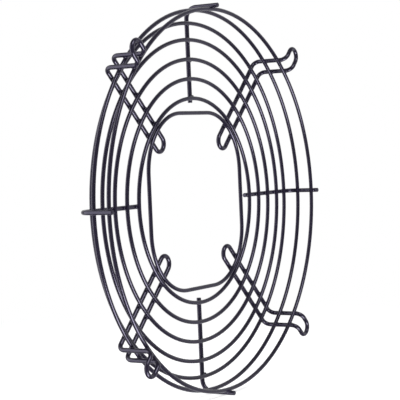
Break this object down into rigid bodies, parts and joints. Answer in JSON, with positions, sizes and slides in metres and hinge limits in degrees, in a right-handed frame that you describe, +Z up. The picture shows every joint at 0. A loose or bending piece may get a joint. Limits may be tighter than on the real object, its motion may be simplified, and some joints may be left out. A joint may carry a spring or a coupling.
{
  "type": "fan grille",
  "caption": "Round welded wire fan guard: a shallow basket of concentric rings with a rounded-square motor opening, spokes and looped mounting feet.",
  "frame": {"origin": "centre of the guard on the fan axis, in the mounting plane that the back of the four feet lies in", "axes": "Y along the fan axis, with the closed face of the basket toward +Y and its open side and feet toward -Y; +Z up as pictured and as fixed to an upright fan; spokes along X and Z, feet on the diagonals"},
  "size_m": [0.2928, 0.0327, 0.2928],
  "materials": {
    "coated_wire": "satin black coating on steel wire"
  },
  "bodies": {
    "root": {"ring_1": "coated_wire", "ring_2": "coated_wire", "ring_3": "coated_wire", "ring_4": "coated_wire", "ring_5": "coated_wire", "ring_6": "coated_wire", "ring_7": "coated_wire", "centre_frame": "coated_wire", "spoke_3": "coated_wire", "spoke_6": "coated_wire", "spoke_9": "coated_wire", "spoke_12": "coated_wire", "foot_upper_right": "coated_wire", "foot_upper_left": "coated_wire", "foot_lower_left": "coated_wire", "foot_lower_right": "coated_wire"}
  },
  "joints": []
}
